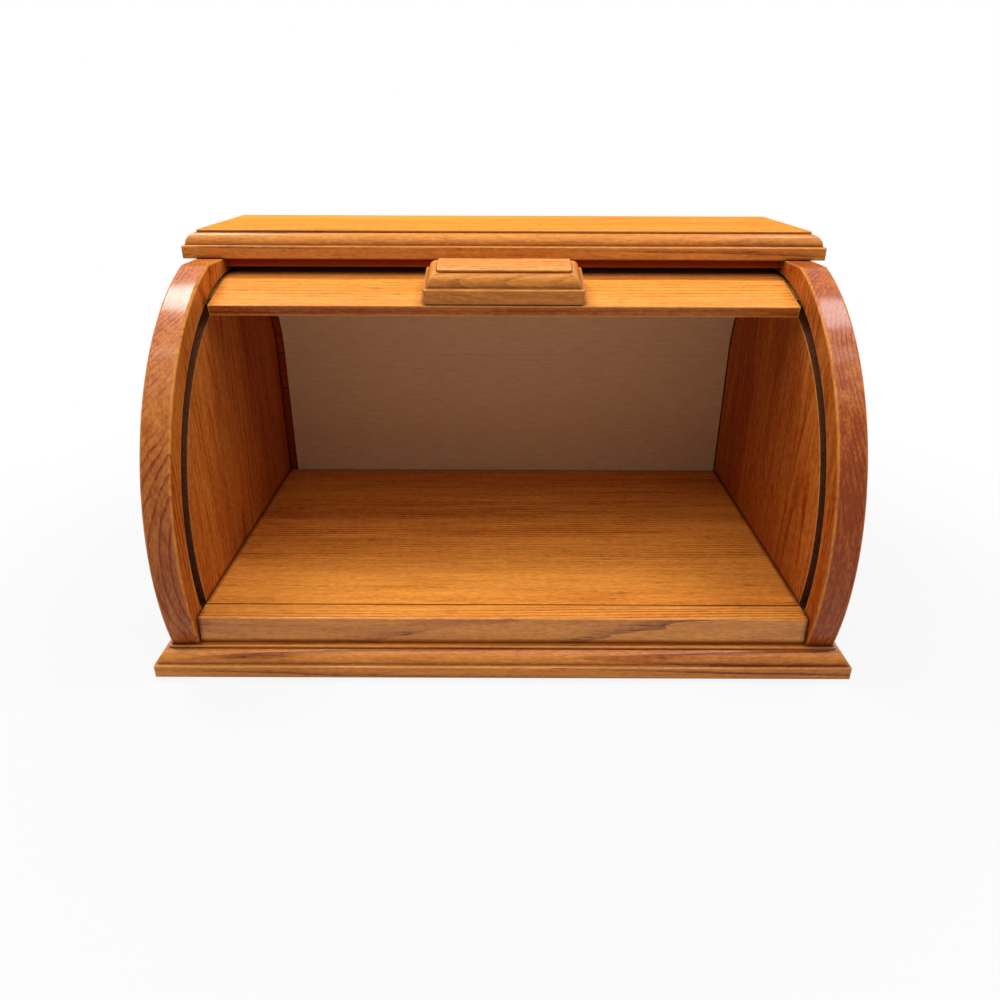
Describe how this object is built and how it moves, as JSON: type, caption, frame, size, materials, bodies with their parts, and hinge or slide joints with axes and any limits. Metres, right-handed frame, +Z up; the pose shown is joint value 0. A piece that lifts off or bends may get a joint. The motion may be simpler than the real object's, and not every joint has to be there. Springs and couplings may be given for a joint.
{
  "type": "roll-top bread box",
  "caption": "Oak bread box with round-fronted sides, moulded base and top boards and a slatted door that rolls up and back in grooves.",
  "frame": {"origin": "middle of the footprint, on the surface that the pads stand on", "axes": "+Z up, -Y out of the open front, +X to the right seen from the front"},
  "size_m": [0.46, 0.284, 0.2655],
  "materials": {
    "case_oak": "stained and varnished oak, satin",
    "floor_oak": "stained and varnished oak, satin",
    "door_oak": "stained and varnished oak, satin",
    "slat_oak": "stained and varnished oak, satin",
    "back_plywood": "stained plywood",
    "dowels": "bare beech",
    "door_cloth": "unbleached cotton canvas",
    "screws": "zinc-plated steel",
    "pads": "soft rubber"
  },
  "bodies": {
    "case": {"base_board": "case_oak", "top_board": "case_oak", "left_side": "case_oak", "right_side": "case_oak", "header_strip": "case_oak", "front_sill": "case_oak", "floor_panel": "floor_oak", "back_panel": "back_plywood", "pads": "pads", "base_screws": "screws", "top_dowels": "dowels", "back_staples": "screws"},
    "door": {"lead_rail": "door_oak", "handle": "door_oak", "handle_screws": "screws", "cloth_lead": "door_cloth", "slat_01": "slat_oak", "cloth_01": "door_cloth"},
    "slat_02": {"slat_02": "slat_oak", "cloth_02": "door_cloth"},
    "slat_03": {"slat_03": "slat_oak", "cloth_03": "door_cloth"},
    "slat_04": {"slat_04": "slat_oak", "cloth_04": "door_cloth"},
    "slat_05": {"slat_05": "slat_oak", "cloth_05": "door_cloth"},
    "slat_06": {"slat_06": "slat_oak", "cloth_06": "door_cloth"},
    "slat_07": {"slat_07": "slat_oak", "cloth_07": "door_cloth"},
    "slat_08": {"slat_08": "slat_oak", "cloth_08": "door_cloth"},
    "slat_09": {"slat_09": "slat_oak", "cloth_09": "door_cloth"},
    "slat_10": {"slat_10": "slat_oak", "cloth_10": "door_cloth"},
    "slat_11": {"slat_11": "slat_oak", "cloth_11": "door_cloth"},
    "slat_12": {"slat_12": "slat_oak", "cloth_12": "door_cloth"},
    "slat_13": {"slat_13": "slat_oak", "cloth_13": "door_cloth"},
    "slat_14": {"slat_14": "slat_oak", "cloth_14": "door_cloth"},
    "slat_15": {"slat_15": "slat_oak", "cloth_15": "door_cloth"},
    "slat_16": {"slat_16": "slat_oak", "cloth_16": "door_cloth"},
    "slat_17": {"slat_17": "slat_oak", "cloth_17": "door_cloth"},
    "slat_18": {"slat_18": "slat_oak", "cloth_18": "door_cloth"}
  },
  "joints": [
    {"name": "door_roll", "type": "hinge", "parent": "case", "child": "door", "pos_m": [0, 0.03755, 0.0768], "axis": [1, 0, 0], "range_deg": [0, 77.51]},
    {"name": "roll_02", "type": "hinge", "parent": "case", "child": "slat_02", "pos_m": [0, 0.03755, 0.0768], "axis": [1, 0, 0], "range_deg": [0, 77.52], "deforming": ["slat_02", "cloth_02"]},
    {"name": "roll_03", "type": "hinge", "parent": "case", "child": "slat_03", "pos_m": [0, 0.04229, 0.07053], "axis": [1, 0, 0], "range_deg": [0, 73.98], "deforming": ["slat_03", "cloth_03"]},
    {"name": "roll_04", "type": "hinge", "parent": "case", "child": "slat_04", "pos_m": [0, 0.03556, 0.08161], "axis": [1, 0, 0], "range_deg": [0, 79.97], "deforming": ["slat_04", "cloth_04"]},
    {"name": "roll_05", "type": "hinge", "parent": "case", "child": "slat_05", "pos_m": [0, 0.03074, 0.09194], "axis": [1, 0, 0], "range_deg": [0, 85.96], "deforming": ["slat_05", "cloth_05"]},
    {"name": "roll_06", "type": "hinge", "parent": "case", "child": "slat_06", "pos_m": [0, 0.02754, 0.10153], "axis": [1, 0, 0], "range_deg": [0, 91.95], "deforming": ["slat_06", "cloth_06"]},
    {"name": "roll_07", "type": "hinge", "parent": "case", "child": "slat_07", "pos_m": [0, 0.02576, 0.11037], "axis": [1, 0, 0], "range_deg": [0, 97.94], "deforming": ["slat_07", "cloth_07"]},
    {"name": "roll_08", "type": "hinge", "parent": "case", "child": "slat_08", "pos_m": [0, 0.0252, 0.11843], "axis": [1, 0, 0], "range_deg": [0, 103.94], "deforming": ["slat_08", "cloth_08"]},
    {"name": "roll_09", "type": "hinge", "parent": "case", "child": "slat_09", "pos_m": [0, 0.02571, 0.12568], "axis": [1, 0, 0], "range_deg": [0, 109.93], "deforming": ["slat_09", "cloth_09"]},
    {"name": "roll_10", "type": "hinge", "parent": "case", "child": "slat_10", "pos_m": [0, 0.02712, 0.1321], "axis": [1, 0, 0], "range_deg": [0, 115.92], "deforming": ["slat_10", "cloth_10"]},
    {"name": "roll_11", "type": "hinge", "parent": "case", "child": "slat_11", "pos_m": [0, 0.0263, 0.13063], "axis": [1, 0, 0], "range_deg": [0, 114.28], "deforming": ["slat_11", "cloth_11"]},
    {"name": "roll_12", "type": "hinge", "parent": "case", "child": "slat_12", "pos_m": [0, 0.023, 0.12507], "axis": [1, 0, 0], "range_deg": [0, 108.21], "deforming": ["slat_12", "cloth_12"]},
    {"name": "roll_13", "type": "hinge", "parent": "case", "child": "slat_13", "pos_m": [0, 0.01854, 0.1197], "axis": [1, 0, 0], "range_deg": [0, 102.15], "deforming": ["slat_13", "cloth_13"]},
    {"name": "roll_14", "type": "hinge", "parent": "case", "child": "slat_14", "pos_m": [0, 0.01279, 0.11458], "axis": [1, 0, 0], "range_deg": [0, 96.08], "deforming": ["slat_14", "cloth_14"]},
    {"name": "roll_15", "type": "hinge", "parent": "case", "child": "slat_15", "pos_m": [0, 0.00556, 0.10976], "axis": [1, 0, 0], "range_deg": [0, 90.01], "deforming": ["slat_15", "cloth_15"]},
    {"name": "roll_16", "type": "hinge", "parent": "case", "child": "slat_16", "pos_m": [0, -0.00021, 0.10717], "axis": [1, 0, 0], "range_deg": [0, 86.15], "deforming": ["slat_16", "cloth_16"]},
    {"name": "roll_17", "type": "hinge", "parent": "case", "child": "slat_17", "pos_m": [0, -0.02257, 0.09908], "axis": [1, 0, 0], "range_deg": [0, 74.09], "deforming": ["slat_17", "cloth_17"]},
    {"name": "roll_18", "type": "hinge", "parent": "case", "child": "slat_18", "pos_m": [0, -0.05419, 0.09098], "axis": [1, 0, 0], "range_deg": [0, 62.04], "deforming": ["slat_18", "cloth_18"]}
  ],
  "couplings": [
    {"joint": "roll_02", "follows": "door_roll", "ratio": 1},
    {"joint": "roll_03", "follows": "door_roll", "ratio": 0.95428},
    {"joint": "roll_04", "follows": "door_roll", "ratio": 1.0316},
    {"joint": "roll_05", "follows": "door_roll", "ratio": 1.1089},
    {"joint": "roll_06", "follows": "door_roll", "ratio": 1.1862},
    {"joint": "roll_07", "follows": "door_roll", "ratio": 1.2635},
    {"joint": "roll_08", "follows": "door_roll", "ratio": 1.3408},
    {"joint": "roll_09", "follows": "door_roll", "ratio": 1.4181},
    {"joint": "roll_10", "follows": "door_roll", "ratio": 1.4954},
    {"joint": "roll_11", "follows": "door_roll", "ratio": 1.4742},
    {"joint": "roll_12", "follows": "door_roll", "ratio": 1.3959},
    {"joint": "roll_13", "follows": "door_roll", "ratio": 1.3177},
    {"joint": "roll_14", "follows": "door_roll", "ratio": 1.2394},
    {"joint": "roll_15", "follows": "door_roll", "ratio": 1.1611},
    {"joint": "roll_16", "follows": "door_roll", "ratio": 1.1113},
    {"joint": "roll_17", "follows": "door_roll", "ratio": 0.95578},
    {"joint": "roll_18", "follows": "door_roll", "ratio": 0.80021}
  ]
}
